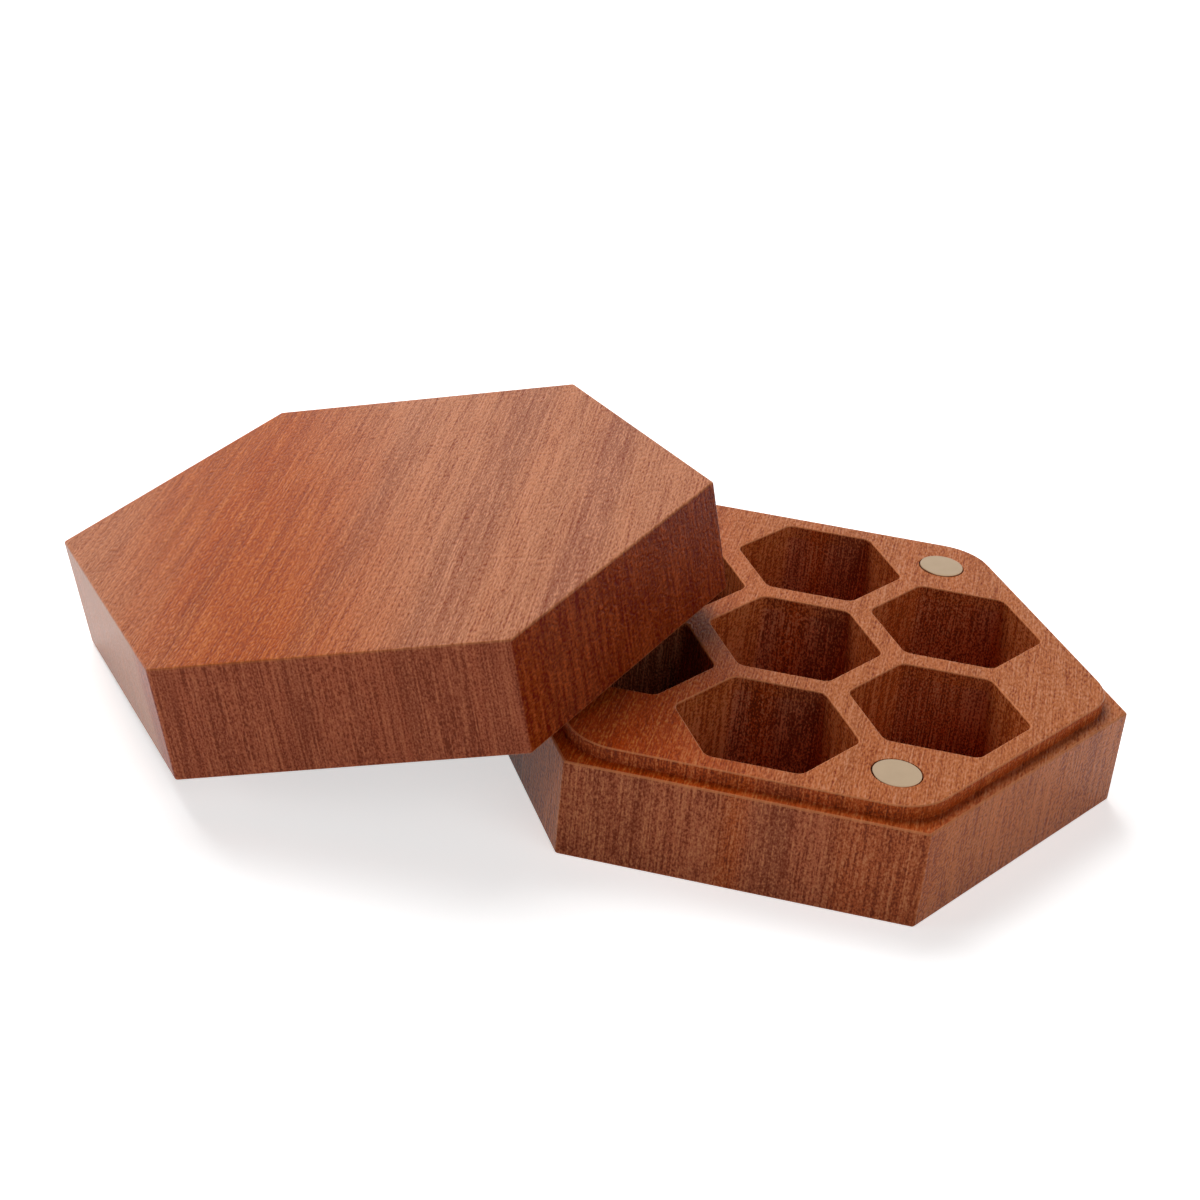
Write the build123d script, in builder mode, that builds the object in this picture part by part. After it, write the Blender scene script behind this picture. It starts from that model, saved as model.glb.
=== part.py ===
from build123d import *
import os
from math import cos, radians, sin, sqrt

# A hexagonal hardwood box for one set of polyhedral dice, in millimetres.
# It has two thick halves, a base and a lid, each milled from one solid block.
# The base stands flat, with the origin at the centre of its underside and +Z up.
# Corners of both halves lie at 0, 60, ... 300 degrees, so the front face looks along -Y.
# The lid lies askew beside the base: its left corner is down on the table and the
# rest of it leans on the base's lip.

os.makedirs("parts", exist_ok=True)

# Pockets, one for each die
pocket_across_flats = 26.5
pocket_corner_radius = 2.0
pocket_wall = 4.25

# Plan of the halves, outwards from the ring of pockets
edge_land = 3.6
shelf_width = 2.4
lip_corner_radius = 10.0

# Heights
base_height = 20.0
base_floor = 3.0
lip_height = 2.5
lid_height = 20.5
lid_skin = 4.0

# Fit of the lid's recess over the base's lip
recess_side_clearance = 0.3
recess_headroom = 0.5

# Sanded edges
upright_edge_radius = 0.6
outer_edge_radius = 0.4
rim_edge_radius = 0.3

# Disc magnets, glued into blind holes
magnet_diameter = 8.0
magnet_thickness = 3.0
magnet_edge_radius = 0.25
magnet_hole_gap = 0.2
base_magnet_stand = {"front": 0.1, "back": 0.3, "left": 0.1}
lid_magnet_inset = 0.3

# How the lid was put down: its heading, and where its inner land meets the lip's
# left corner, measured from the point where three pocket walls join
lid_heading = 8.02
contact_inset = 0.67
contact_side = 2.44
rest_gap = 0.1

# Angles shared by both halves
ring_start = 30
magnet_angle = {"front": -60, "back": 60, "left": 180}

# Sizes that follow
half_corner = radians(30)
pocket_apothem = pocket_across_flats / 2
pocket_pitch = pocket_across_flats + pocket_wall
wall_joint_radius = pocket_pitch / sqrt(3)
lip_apothem = pocket_pitch + pocket_apothem + edge_land
outer_apothem = lip_apothem + shelf_width
corner_reach = outer_apothem / cos(half_corner)
lip_arc_centre = (lip_apothem - lip_corner_radius) / cos(half_corner)
shelf_height = base_height - lip_height
recess_apothem = lip_apothem + recess_side_clearance
recess_corner_radius = lip_corner_radius + recess_side_clearance
recess_depth = lip_height + recess_headroom
lid_pocket_depth = lid_height - lid_skin - recess_depth
pocket_ring_edge = pocket_pitch / 2 + pocket_apothem
magnet_circle = (lip_apothem + pocket_ring_edge) / 2 / cos(half_corner)
magnet_hole_radius = magnet_diameter / 2 + magnet_hole_gap
base_hole_depth = magnet_thickness - min(base_magnet_stand.values())
lid_hole_depth = magnet_thickness + lid_magnet_inset


def hexagon(apothem):
    """A hexagon with corners at 0, 60, ... degrees in the open sketch."""
    RegularPolygon(apothem, 6, major_radius=False)


def pocket_hexagons():
    """One pocket in the middle and six around it, all turned the same way."""
    hexagon(pocket_apothem)
    with PolarLocations(pocket_pitch, 6, start_angle=ring_start, rotate=False):
        hexagon(pocket_apothem)


def magnet_circle_at(side, radius):
    """A circle in the open sketch, at one of the magnets' three corners."""
    with PolarLocations(magnet_circle, 1, start_angle=magnet_angle[side]):
        Circle(radius)


def lid_plane(slope_x, slope_y):
    """The lid's rim plane at these slopes, its inner land on the lip's left corner."""
    heading = radians(lid_heading)
    rise = slope_x * cos(heading) + slope_y * sin(heading)
    forward = Vector(cos(heading), sin(heading), rise)
    upward = Vector(-slope_x, -slope_y, 1)
    downhill = Vector(-slope_x, -slope_y, 0).normalized()
    lip_corner = Vector(-lip_arc_centre, 0, base_height + rest_gap)
    touch = lip_corner + downhill * lip_corner_radius
    tilted = Plane(origin=(0, 0, 0), x_dir=forward, z_dir=upward)
    contact = Vector(wall_joint_radius - contact_inset, contact_side, recess_depth)
    return Plane(
        origin=touch - tilted.from_local_coords(contact),
        x_dir=forward,
        z_dir=upward,
    )


def support_errors(slope_x, slope_y):
    """How far the lid's left corner and its front right rim miss their supports."""
    rim = lid_plane(slope_x, slope_y)
    left_corner = rim.from_local_coords(Vector(-corner_reach, 0, 0))
    side = radians(-30)
    on_edge = Vector(recess_apothem * cos(side), recess_apothem * sin(side), 0)
    edge_start = rim.from_local_coords(on_edge)
    edge_end = rim.from_local_coords(on_edge + Vector(-sin(side), cos(side), 0))
    along = edge_end - edge_start
    lip_normal = Vector(cos(radians(-150)), sin(radians(-150)), 0)
    steps = (lip_apothem - edge_start.dot(lip_normal)) / along.dot(lip_normal)
    crossing = edge_start + along * steps
    return (
        left_corner.Z - rest_gap,
        crossing.Z - base_height - rest_gap,
    )


def leaning_plane():
    """The rim plane at which the lid touches table and lip, by Newton's method."""
    slope_x = 0.23
    slope_y = 0.05
    nudge = 1e-5
    for _ in range(12):
        corner, rim = support_errors(slope_x, slope_y)
        corner_x, rim_x = support_errors(slope_x + nudge, slope_y)
        corner_y, rim_y = support_errors(slope_x, slope_y + nudge)
        a = (corner_x - corner) / nudge
        b = (corner_y - corner) / nudge
        c = (rim_x - rim) / nudge
        d = (rim_y - rim) / nudge
        determinant = a * d - b * c
        slope_x -= (d * corner - b * rim) / determinant
        slope_y -= (a * rim - c * corner) / determinant
    return lid_plane(slope_x, slope_y)


def finish(piece, name):
    """Name a finished piece and write it."""
    piece.part.label = name
    export_step(piece.part, f"parts/{name}.step")


# Base: outer block, stepped lip, pockets and blind magnet holes
with BuildPart() as base_block:
    with BuildSketch(Plane.XY):
        hexagon(outer_apothem)
    extrude(amount=shelf_height)
    fillet(base_block.edges().filter_by(Axis.Z), upright_edge_radius)
    outline_faces = base_block.faces().filter_by(Axis.Z)
    fillet(outline_faces.edges(), outer_edge_radius)
    with BuildSketch(Plane.XY.offset(shelf_height)) as lip_outline:
        hexagon(lip_apothem)
        fillet(lip_outline.vertices(), lip_corner_radius)
    extrude(amount=lip_height)
    with BuildSketch(Plane.XY.offset(base_height)) as base_pockets:
        pocket_hexagons()
        fillet(base_pockets.vertices(), pocket_corner_radius)
    extrude(amount=base_floor - base_height, mode=Mode.SUBTRACT)
    lip_top = base_block.faces().sort_by(Axis.Z)[-1]
    fillet(lip_top.edges(), rim_edge_radius)
    with BuildSketch(Plane.XY.offset(base_height)):
        for side in magnet_angle:
            magnet_circle_at(side, magnet_hole_radius)
    extrude(amount=-base_hole_depth, mode=Mode.SUBTRACT)
finish(base_block, "base_block")

# Lid: outer block, recess for the lip, matching pockets and blind magnet holes
lid_rim = leaning_plane()
lid_axis = Axis(lid_rim.origin, lid_rim.z_dir)
lid_ceiling = lid_rim.offset(recess_depth)

with BuildPart() as lid_block:
    with BuildSketch(lid_rim):
        hexagon(outer_apothem)
    extrude(amount=lid_height)
    fillet(lid_block.edges().filter_by(lid_axis), upright_edge_radius)
    outline_faces = lid_block.faces().filter_by(lid_axis)
    fillet(outline_faces.edges(), outer_edge_radius)
    with BuildSketch(lid_rim) as recess_outline:
        hexagon(recess_apothem)
        fillet(recess_outline.vertices(), recess_corner_radius)
    extrude(amount=recess_depth, mode=Mode.SUBTRACT)
    with BuildSketch(lid_ceiling) as lid_pockets:
        pocket_hexagons()
        fillet(lid_pockets.vertices(), pocket_corner_radius)
    extrude(amount=lid_pocket_depth, mode=Mode.SUBTRACT)
    rim_face, ceiling_face = lid_block.faces().filter_by(lid_axis).sort_by(lid_axis)[:2]
    mouths = ceiling_face.inner_wires().edges()
    fillet(rim_face.inner_wires().edges() + mouths, rim_edge_radius)
    with BuildSketch(lid_ceiling):
        for side in magnet_angle:
            magnet_circle_at(side, magnet_hole_radius)
    extrude(amount=lid_hole_depth, mode=Mode.SUBTRACT)
finish(lid_block, "lid_block")

# Magnets: three in the base's lip, three in the lid's ceiling, at the same corners
for side in magnet_angle:
    bottom_height = base_height + base_magnet_stand[side] - magnet_thickness
    with BuildPart() as base_magnet:
        with BuildSketch(Plane.XY.offset(bottom_height)):
            magnet_circle_at(side, magnet_diameter / 2)
        extrude(amount=magnet_thickness)
        fillet(base_magnet.edges().filter_by(GeomType.CIRCLE), magnet_edge_radius)
    finish(base_magnet, f"base_magnet_{side}")

for side in magnet_angle:
    with BuildPart() as lid_magnet:
        with BuildSketch(lid_ceiling.offset(lid_magnet_inset)):
            magnet_circle_at(side, magnet_diameter / 2)
        extrude(amount=magnet_thickness)
        fillet(lid_magnet.edges().filter_by(GeomType.CIRCLE), magnet_edge_radius)
    finish(lid_magnet, f"lid_magnet_{side}")

print("closed height", shelf_height + lid_height)
print("across flats", 2 * outer_apothem, "across corners", round(2 * corner_reach, 2))
print("lid rim centre", lid_rim.origin, "normal", lid_rim.z_dir, "x", lid_rim.x_dir)
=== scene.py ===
from math import cos, pi, radians, sin

import bpy
from mathutils import Matrix, Vector


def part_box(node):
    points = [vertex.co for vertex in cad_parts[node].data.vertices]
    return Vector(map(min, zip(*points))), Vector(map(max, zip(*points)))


# A hexagonal hardwood dice box on a white floor, in metres.
# The two wooden halves and the six magnets are the frame's own pieces, and each gets its
# finish here. The wood is solid: its grain is a pattern in space that runs on from the
# top face down the sides and into the pockets.

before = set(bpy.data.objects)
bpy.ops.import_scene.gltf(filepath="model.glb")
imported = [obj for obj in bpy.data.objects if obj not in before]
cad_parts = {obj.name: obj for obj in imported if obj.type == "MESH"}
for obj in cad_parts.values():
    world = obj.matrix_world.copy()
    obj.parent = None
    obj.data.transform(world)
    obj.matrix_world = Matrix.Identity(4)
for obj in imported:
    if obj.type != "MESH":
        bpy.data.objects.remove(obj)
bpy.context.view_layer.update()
bpy.ops.object.select_all(action="DESELECT")

# Each half has a magnet in three of its corners
magnet_sides = ("front", "back", "left")

# The camera that took the photograph
camera_place = Vector((0.02694, -0.34007, 0.20199))
camera_heading = radians(10.306)
camera_drop = radians(27.764)
camera_roll = radians(5.840)
camera_lens = 66.596
sensor_width = 36.0
nearest_seen = 0.01
farthest_seen = 20.0

# Studio: a strong softbox behind on the left, a small low one on the left and a weaker
# one in front on the right, each with its azimuth, elevation, power and size
lamps = {
    "back_left_softbox": (130, 50, 16.2, 1.0),
    "low_left_softbox": (206, 14, 2.75, 0.5),
    "front_right_softbox": (318, 28, 3.75, 1.0),
}
lamp_distance = 1.20
lit_point = Vector((-0.03, 0.0, 0.01))
room_light = 0.015
background_colour = (1.0, 1.0, 1.0)

# Floor: its paint, and its glow for the camera. The glow is weak near the box, where the
# shadow has to show, and turns into the background between these distances.
floor_size = 6.0
floor_colour = (0.95, 0.95, 0.95)
floor_glow = (0.60, 0.60, 0.60)
glow_distances = (0.20, 0.60)

# Lengths in the wood are in millimetres from the middle of a half's three magnets, across
# its fibres, along them and up. The lid's fibres are turned a little.
metres_per_millimetre = 0.001
grain_turns = {"base": 0.0, "lid": radians(3.5)}

# Upright faces near a half's middle belong to its pockets. These are the squares of the
# distances where that starts and from where it is complete.
pocket_ring = (2170.0, 2080.0)

# The base's lip starts at its shelf. The lid has none, so its start is above its top.
lip_start = {"base": -1.1, "lid": 16.0}
lip_fade = 0.2

# Wood of the sides and pockets, and of the level faces where they are most orange and
# where they are palest; that palest colour is partly a painted sheen of the white room
# The lid's side wood is darker and redder than the base's: painted shade, as its right-hand
# side faces the base's wood instead of the white floor.
side_wood_and_lid_shade = {"base": (0.505, 0.132, 0.028), "lid": (0.265, 0.036, 0.001)}
orange_face = {"base": (0.430, 0.048, 0.001), "lid": (0.386, 0.065, 0.000)}
pale_sheen_face = {"base": (0.482, 0.142, 0.040), "lid": (0.476, 0.172, 0.076)}

# The most orange place across each half, and how far from it the level faces are palest.
# On the base the orange lies where the lid's shadow falls, so there it is painted shade;
# away from it the paleness is partly the wood's own hue and partly a painted sheen.
# The orange band leans and wavers.
orange_places = {"base": (-40.0, 45.0), "lid": (-25.0, 38.0)}
orange_half_width = 2.0
orange_lean = 0.3
orange_waver = 10.0

# Painted shade: the base's shelf, in its lip's shadow and crease, is made more orange than
# the top of its lip, apart from the right end, where light reaches it. So is the lid's
# underside.
shelf_to_lip = (-1.0, 1.0)
lit_shelf_end = (25.0, 50.0)
shaded_shelf_paleness = 0.3

# The lip's wall is painted orange: painted shade, standing in for the orange light bounced
# off the shelf in the crease. Faces that cut the fibres get a paler, pinker colour: partly
# the end grain's own, partly a painted sheen of the white floor, of which the lip's wall
# gets little.
lip_bounce_orange = 0.8
lip_without_sheen = 0.8
fibre_end_and_sheen = {"base": (0.405, 0.105, 0.064), "lid": (0.460, 0.124, 0.064)}
fibre_end_and_sheen_share = 0.6

# Patterns of the grain, by their size across the fibres, along them and up
drift_size = (14.0, 45.0, 30.0)
shade_size = (3.0, 90.0, 50.0)
line_size = (0.29, 14.0, 10.0)
fibre_size = (0.29, 1.05, 0.45)

# Soft shades of the wood: the darkest, and how far they range up from it
darkest_shade = 0.77
shade_range = 0.45

# Light and dark lines: on the sides, on level faces, and the palest and the brownest ones.
# The lid's side lines are darker than the base's: painted shade, like its side wood.
light_side_line = {"base": (0.660, 0.200, 0.062), "lid": (0.500, 0.090, 0.020)}
dark_side_line = {"base": (0.300, 0.055, 0.010), "lid": (0.170, 0.006, 0.000)}
orange_line = (0.580, 0.170, 0.035)
dark_line = (0.220, 0.028, 0.002)
pale_line = (0.620, 0.250, 0.130)
brown_line = (0.200, 0.036, 0.011)

# Strength of the short fibres beside that of the lines, then of both together on the
# sides, on the level faces and, on top of the sides', in the pockets
fibre_strength = 1.3
side_strength = 3.5
level_strength = 2.45
pocket_strength = 2.0

# How much of the light lines shows on the sides, and how far they turn into the palest
# ones where the end grain has its painted sheen and in the pockets
side_light_share = 0.70
end_sheen_pale_share = 0.5
pocket_pale_share = 0.3

# Ribbons of growth: how far across the fibres and how wide, how strong on the sides and
# on the level faces, and of which colour. They waver, fade at their edges and are
# stronger in the pockets.
purple_ribbon = (0.230, 0.062, 0.030)
red_ribbon = (0.460, 0.080, 0.008)
# colour of the painted sheen on the lid's left side
sheen_ribbon = (0.500, 0.250, 0.130)
ribbons = {
    "base": (
        (-42, 9, 0.22, 0.06, purple_ribbon),
        (-22, 14, 0.18, 0.05, purple_ribbon),
        (-2, 4, 0.64, 0.16, red_ribbon),
        (5, 6, 0.45, 0.11, purple_ribbon),
        (22, 16, 0.40, 0.10, red_ribbon),
    ),
    "lid": (
        (-26, 6, 0.07, 0.14, dark_line),
        (-2, 4, 0.14, 0.27, purple_ribbon),
        (19, 8, 0.13, 0.30, purple_ribbon),
        (38.5, 7, 0.25, 0.55, purple_ribbon),
    ),
}
ribbon_waver = 5.0
ribbon_fade = 2.0
pocket_ribbon_gain = 0.8

# Painted sheen: the lid's left side is made paler, lines and all, standing in for the
# reflection of the white floor
painted_sheen_ribbons = {"base": (), "lid": ((-48, 36, 0.50, 0.05, sheen_ribbon),)}

# Rounded edges, where the surface is neither upright nor level, are paler: partly sanded
# wear, partly a painted highlight
arris_wear_and_highlight = (0.700, 0.260, 0.110)
arris_highlight_share = {"base": 0.6, "lid": 0.25}
off_upright = (0.1, 0.3)
off_level = (0.998, 0.95)

# Surface of the oiled wood: the depth of its open grain in metres, how much of that the
# lines have beside the short fibres, and its shine
relief_depth = 0.00015
line_relief = 0.5
wood_roughness = 0.30
gloss = {"base": 0.065, "lid": 0.080}

# Satin nickel, a little clouded
nickel_colour = (0.510, 0.370, 0.240)
nickel_roughness = 0.28
cloud_size = (0.003, 0.003, 0.003)
cloud_shade = 0.9
cloud_roughness = 0.12


class Value:
    """A number, colour or vector in a finish, with Python's operators."""

    def __init__(self, finish, socket):
        self.finish = finish
        self.socket = socket

    def __add__(self, other):
        return self.finish.maths("ADD", self, other)

    def __radd__(self, other):
        return self.finish.maths("ADD", other, self)

    def __sub__(self, other):
        return self.finish.maths("SUBTRACT", self, other)

    def __rsub__(self, other):
        return self.finish.maths("SUBTRACT", other, self)

    def __mul__(self, other):
        return self.finish.maths("MULTIPLY", self, other)

    def __rmul__(self, other):
        return self.finish.maths("MULTIPLY", other, self)

    def __abs__(self):
        return self.finish.maths("ABSOLUTE", self)


class Finish:
    """The nodes of a material or world, written as expressions on their values."""

    def __init__(self, owner):
        owner.use_nodes = True
        self.owner = owner
        self.tree = owner.node_tree
        self.tree.nodes.clear()

    def node(self, kind, settings=None, inputs=None, output=0):
        """A node with its settings, then its inputs, as the value of one output."""
        made = self.tree.nodes.new(kind)
        for name, setting in (settings or {}).items():
            setattr(made, name, setting)
        for name, value in (inputs or {}).items():
            if isinstance(value, Value):
                self.tree.links.new(value.socket, made.inputs[name])
            else:
                made.inputs[name].default_value = value
        return Value(self, made.outputs[output]) if made.outputs else None

    def maths(self, operation, *values):
        """A sum, product or other operation on one or more values."""
        settings = {"operation": operation}
        return self.node("ShaderNodeMath", settings, dict(enumerate(values)))

    def stretch(self, place, size):
        """Place divided by a size along each axis, so that a pattern grows to that size."""
        inputs = {0: place, 1: [1 / length for length in size]}
        return self.node("ShaderNodeVectorMath", {"operation": "MULTIPLY"}, inputs)

    def noise(self, place, size, detail=2.0):
        """Soft noise from 0 to 1 whose lumps have this size along each axis."""
        inputs = {"Vector": self.stretch(place, size), "Scale": 1.0, "Detail": detail}
        return self.node("ShaderNodeTexNoise", None, inputs)

    def step(self, value, start, end, low=0.0, high=1.0):
        """A smooth change from low to high as the value goes from start to end."""
        settings = {"interpolation_type": "SMOOTHSTEP"}
        inputs = {"Value": value, 1: start, 2: end, 3: low, 4: high}
        return self.node("ShaderNodeMapRange", settings, inputs)

    def blend(self, first, second, share):
        """The first colour, turning into the second as share goes from 0 to 1."""
        colours = {
            6: (*first, 1.0) if isinstance(first, tuple) else first,
            7: (*second, 1.0) if isinstance(second, tuple) else second,
        }
        settings = {"data_type": "RGBA", "clamp_factor": True}
        return self.node("ShaderNodeMix", settings, {0: share, **colours}, 2)

    def scale(self, colour, factor):
        """A colour made darker or lighter, with its hue kept."""
        settings = {"operation": "SCALE"}
        return self.node("ShaderNodeVectorMath", settings, {0: colour, "Scale": factor})

    def parts(self, vector):
        """The x, y and z of a vector."""
        split = self.tree.nodes.new("ShaderNodeSeparateXYZ")
        self.tree.links.new(vector.socket, split.inputs[0])
        return [Value(self, output) for output in split.outputs]

    def seen_straight(self):
        """1 for what the camera sees, itself or by way of metal or glass, and 0 for light."""
        kinds = ("Camera", "Glossy", "Transmission")
        rays = [self.node("ShaderNodeLightPath", output=f"Is {kind} Ray") for kind in kinds]
        return self.maths("MINIMUM", sum(rays), 1.0)

    def finish(self, **inputs):
        """The shader itself, with its inputs named as in Blender."""
        named = {name.replace("_", " "): value for name, value in inputs.items()}
        shader = self.node("ShaderNodeBsdfPrincipled", None, named)
        self.node("ShaderNodeOutputMaterial", None, {"Surface": shader})
        return self.owner


def camera():
    """The photograph's own view."""
    bpy.ops.object.camera_add(location=camera_place)
    made = bpy.context.object
    made.name = "photograph_view"
    made.data.lens = camera_lens
    made.data.sensor_width = sensor_width
    made.data.clip_start = nearest_seen
    made.data.clip_end = farthest_seen
    turn = Matrix.Rotation(camera_heading, 4, "Z")
    tilt = Matrix.Rotation(pi / 2 - camera_drop, 4, "X")
    roll = Matrix.Rotation(camera_roll, 4, "Z")
    made.matrix_world = Matrix.Translation(camera_place) @ turn @ tilt @ roll
    bpy.context.scene.camera = made


def softbox(name, azimuth, elevation, power, size):
    """A square lamp in this direction, in degrees, turned to face the box."""
    flat = lamp_distance * cos(radians(elevation))
    offset = Vector((flat * cos(radians(azimuth)), flat * sin(radians(azimuth)), 0.0))
    offset.z = lamp_distance * sin(radians(elevation))
    bpy.ops.object.light_add(type="AREA", location=offset)
    lamp = bpy.context.object
    lamp.name = name
    lamp.data.shape = "SQUARE"
    lamp.data.size = size
    lamp.data.energy = power
    lamp.visible_glossy = False
    lamp.rotation_euler = (lit_point - offset).to_track_quat("-Z", "Y").to_euler()


def studio():
    """A little light from all around, the softboxes and a white background."""
    scene = bpy.context.scene
    scene.view_settings.view_transform = "Standard"
    scene.world = bpy.data.worlds.new("studio_room")
    room = Finish(scene.world)
    strength = room.seen_straight() * (1.0 - room_light) + room_light
    inputs = {"Color": (*background_colour, 1.0), "Strength": strength}
    background = room.node("ShaderNodeBackground", None, inputs)
    room.node("ShaderNodeOutputWorld", None, {"Surface": background})
    for name, settings in lamps.items():
        softbox(name, *settings)


def white_floor():
    """A plain white floor that keeps the box's shadow and fades into the background."""
    bpy.ops.mesh.primitive_plane_add(size=floor_size)
    floor = bpy.context.object
    floor.name = "white_floor"
    paint = Finish(bpy.data.materials.new("floor_paint"))
    place = paint.node("ShaderNodeTexCoord", output="Object")
    distance = paint.node("ShaderNodeVectorMath", {"operation": "LENGTH"}, {0: place}, "Value")
    far = paint.step(distance, *glow_distances)
    glow = paint.blend(floor_glow, background_colour, far)
    matt = paint.node("ShaderNodeBsdfDiffuse", None, {"Color": (*floor_colour, 1.0)})
    inputs = {"Color": glow, "Strength": paint.seen_straight()}
    glowing = paint.node("ShaderNodeEmission", None, inputs)
    both = paint.node("ShaderNodeAddShader", None, {0: matt, 1: glowing})
    paint.node("ShaderNodeOutputMaterial", None, {"Surface": both})
    floor.data.materials.append(paint.owner)


def middle_of(node):
    """The middle of a piece."""
    low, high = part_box(node)
    return (low + high) / 2


def half_frame(half):
    """A half's centre and its axes across the fibres, along them and up, from its magnets."""
    front, back, left = (middle_of(f"{half}_magnet_{side}") for side in magnet_sides)
    centre = (front + back + left) / 3
    forward = (centre - left).normalized()
    sideways = (back - front).normalized()
    upward = forward.cross(sideways)
    return centre, forward, sideways, upward


def along_grain(wood, half, kind):
    """The place or the normal of a half's surface: across its fibres, along them and up."""
    centre, forward, sideways, upward = half_frame(half)
    turn = grain_turns[half]
    across = forward * cos(turn) - sideways * sin(turn)
    along = sideways * cos(turn) + forward * sin(turn)
    turned = Matrix((across, along, upward)).transposed().to_euler()
    inputs = {"Vector": wood.node("ShaderNodeTexCoord", output=kind), "Rotation": turned}
    if kind == "Object":
        inputs["Location"] = centre
        inputs["Scale"] = [metres_per_millimetre] * 3
    return wood.node("ShaderNodeMapping", {"vector_type": "TEXTURE"}, inputs)


class Point:
    """A point of a half's surface: where it lies in the wood, and which way it faces.

    These are 1 where they hold and 0 where they don't: up on level faces, end_on on faces
    that cut the fibres, inside on the pockets' walls, and on_lip above the base's shelf.
    """

    def __init__(self, wood, half):
        self.half = half
        self.place = along_grain(wood, half, "Object")
        self.across, self.along, self.height = wood.parts(self.place)
        self.drift = wood.noise(self.place, drift_size) - 0.5
        self.wavy = self.across + ribbon_waver * self.drift
        _, end_on, up = wood.parts(along_grain(wood, half, "Normal"))
        self.up = abs(up)
        squared = end_on * end_on
        self.end_on = squared * squared
        ring = self.across * self.across + self.along * self.along
        self.inside = wood.step(ring, *pocket_ring) * (1.0 - self.up)
        start = lip_start[half]
        self.on_lip = wood.step(self.height, start - lip_fade, start + lip_fade)
        # painted sheen of the white floor on faces that cut the fibres, little on the lip's
        # wall
        self.end_grain_sheen = self.end_on * (1.0 - lip_without_sheen * self.on_lip)
        self.paleness_and_sheen = self.level_paleness_and_sheen(wood)

    def level_paleness_and_sheen(self, wood):
        """0 where the level faces are most orange, and 1 where they are palest, partly by a
        painted sheen. The shelf's painted shade keeps it low there.
        """
        orange_place, reach = orange_places[self.half]
        leaning = self.across + orange_lean * self.along + orange_waver * self.drift
        paleness_and_sheen = wood.step(abs(leaning - orange_place), orange_half_width, reach)
        # painted shade on the shelf, lifted towards its lit right end
        shelf_light = wood.step(self.across, *lit_shelf_end, shaded_shelf_paleness, 1.0)
        return paleness_and_sheen * wood.step(self.height, *shelf_to_lip, shelf_light, 1.0)


def plain_wood(wood, point):
    """The wood without its grain: sides, lip, level faces and cut fibre ends."""
    half = point.half
    # painted shade: the lip's wall takes the orange of light bounced off the shelf
    lip_bounce_share = lip_bounce_orange * point.on_lip * (1.0 - point.inside)
    colour = wood.blend(side_wood_and_lid_shade[half], orange_face[half], lip_bounce_share)
    face = wood.blend(orange_face[half], pale_sheen_face[half], point.paleness_and_sheen)
    colour = wood.blend(colour, face, point.up)
    # cut fibre ends: their own colour and a painted sheen of the white floor
    return wood.blend(colour, fibre_end_and_sheen[half], fibre_end_and_sheen_share * point.end_grain_sheen)


def ribboned(wood, point, colour, bands):
    """The colour with these ribbons of growth over it."""
    for centre, width, on_sides, on_level, tint in bands:
        edge = width / 2
        near = wood.step(abs(point.wavy - centre), edge + ribbon_fade, edge - ribbon_fade)
        share = on_sides + (on_level - on_sides) * point.up
        share = share * (1.0 + pocket_ribbon_gain * point.inside)
        colour = wood.blend(colour, tint, near * share)
    return colour


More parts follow.
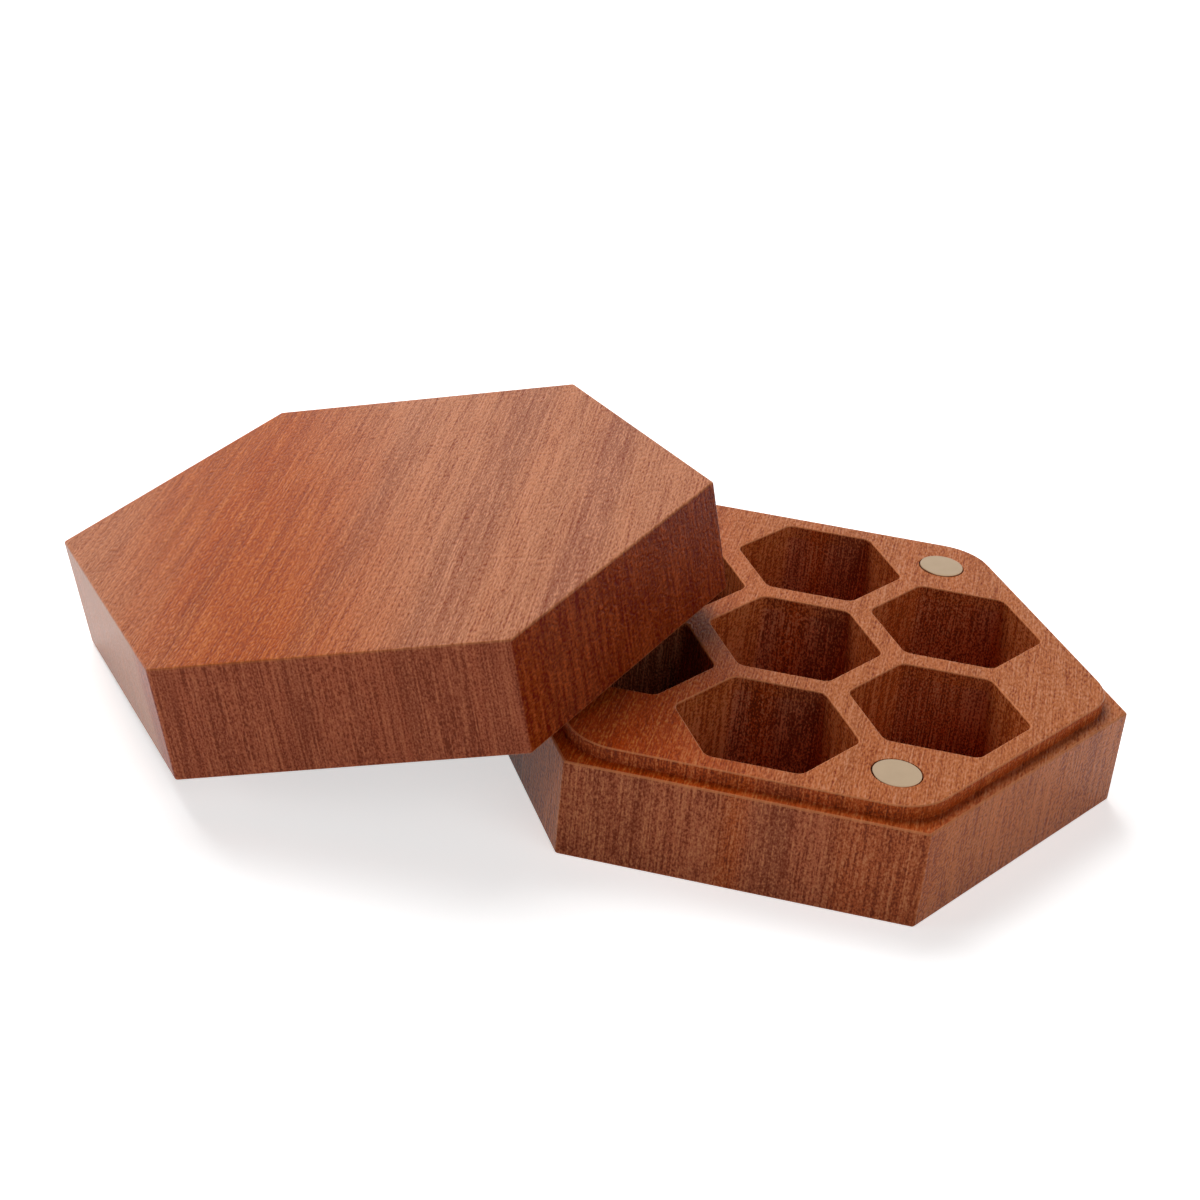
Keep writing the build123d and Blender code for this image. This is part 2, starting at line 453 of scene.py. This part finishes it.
def lined(wood, point, colour, line, fibre):
    """The colour with light and dark lines and short fibres over it."""
    strength = side_strength + (level_strength - side_strength) * point.up
    strength = strength + pocket_strength * point.inside
    tone = (line - 0.5 + fibre_strength * (fibre - 0.5)) * strength
    # pale lines where the level faces and fibre ends have their painted sheen, and in the
    # pockets
    pale_and_sheen_share = point.paleness_and_sheen * point.up + end_sheen_pale_share * point.end_grain_sheen
    pale_and_sheen_share = pale_and_sheen_share + pocket_pale_share * point.inside
    light = wood.blend(light_side_line[point.half], orange_line, point.up)
    light = wood.blend(light, pale_line, pale_and_sheen_share)
    light_share = side_light_share + (1.0 - side_light_share) * point.up
    colour = wood.blend(colour, light, tone * light_share)
    dark = wood.blend(dark_side_line[point.half], dark_line, point.up)
    dark = wood.blend(dark, brown_line, point.end_on)
    return wood.blend(colour, dark, -1.0 * tone)


def hardwood(half):
    """Oiled hardwood with upright ribbons of growth, fine lines and short fibres, and with
    painted shade, sheen and edge highlights.
    """
    wood = Finish(bpy.data.materials.new(f"{half}_hardwood"))
    point = Point(wood, half)
    soft = wood.noise(point.place, shade_size)
    line = wood.noise(point.place, line_size, detail=1.0)
    fibre = wood.noise(point.place, fibre_size, detail=1.0)

    colour = ribboned(wood, point, plain_wood(wood, point), ribbons[half])
    colour = wood.scale(colour, darkest_shade + shade_range * soft)
    colour = lined(wood, point, colour, line, fibre)
    # painted sheen on the lid's left side
    colour = ribboned(wood, point, colour, painted_sheen_ribbons[half])
    # rounded edges: sanded wear and a painted highlight
    arris_highlight_mask = wood.step(point.up, *off_upright) * wood.step(point.up, *off_level)
    colour = wood.blend(colour, arris_wear_and_highlight, arris_highlight_share[half] * arris_highlight_mask)

    grooves = line_relief * line + fibre
    relief = {"Strength": 1.0, "Distance": relief_depth, "Height": grooves}
    return wood.finish(
        Base_Color=colour,
        Roughness=wood_roughness,
        Specular_IOR_Level=gloss[half],
        Normal=wood.node("ShaderNodeBump", None, relief),
    )


def nickel():
    """Satin nickel plating."""
    metal = Finish(bpy.data.materials.new("magnet_nickel"))
    place = metal.node("ShaderNodeTexCoord", output="Object")
    cloud = metal.noise(place, cloud_size, detail=3.0)
    clouded = tuple(cloud_shade * part for part in nickel_colour)
    colour = metal.blend(nickel_colour, clouded, cloud)
    roughness = nickel_roughness + cloud_roughness * cloud
    return metal.finish(Base_Color=colour, Metallic=1.0, Roughness=roughness)


def dress(node, material):
    """Puts a finish on one of the frame's own pieces."""
    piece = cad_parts[node]
    piece.data.materials.clear()
    piece.data.materials.append(material)


camera()
studio()
white_floor()
nickel_plate = nickel()
for half in ("base", "lid"):
    dress(f"{half}_block", hardwood(half))
    for side in magnet_sides:
        dress(f"{half}_magnet_{side}", nickel_plate)
